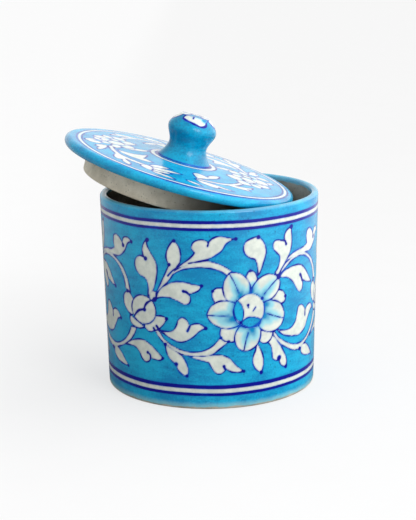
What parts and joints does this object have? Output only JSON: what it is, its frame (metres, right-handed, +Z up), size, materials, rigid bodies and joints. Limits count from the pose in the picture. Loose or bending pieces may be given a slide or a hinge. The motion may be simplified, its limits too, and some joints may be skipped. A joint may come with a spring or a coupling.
{
  "type": "lidded ceramic jar",
  "caption": "Straight-sided hand-painted blue pottery jar with a knobbed lid that leans in the open mouth; lid lifts off.",
  "frame": {"origin": "centre of the jar's flat foot, on the surface that it stands on", "axes": "+Z up along the jar's own axis; the lid leans down towards +X; -Y is the side with the large flower"},
  "size_m": [0.1149, 0.1076, 0.1249],
  "materials": {
    "painted_glaze": "glossy clear glaze over turquoise ground with white and cobalt painting",
    "knob_glaze": "glossy clear glaze over turquoise ground",
    "bare_paste": "matt unglazed quartz paste, fine grit",
    "foot_paste": "matt unglazed quartz paste, wiped foot"
  },
  "bodies": {
    "jar": {"jar_wall": "painted_glaze", "jar_base": "foot_paste"},
    "lid": {"lid_disc": "painted_glaze", "lid_ring": "bare_paste", "lid_knob": "knob_glaze"}
  },
  "joints": [
    {"name": "lid_lift", "type": "slide", "parent": "jar", "child": "lid", "axis": [0, 0, 1], "range_m": [0, 0.08]}
  ]
}
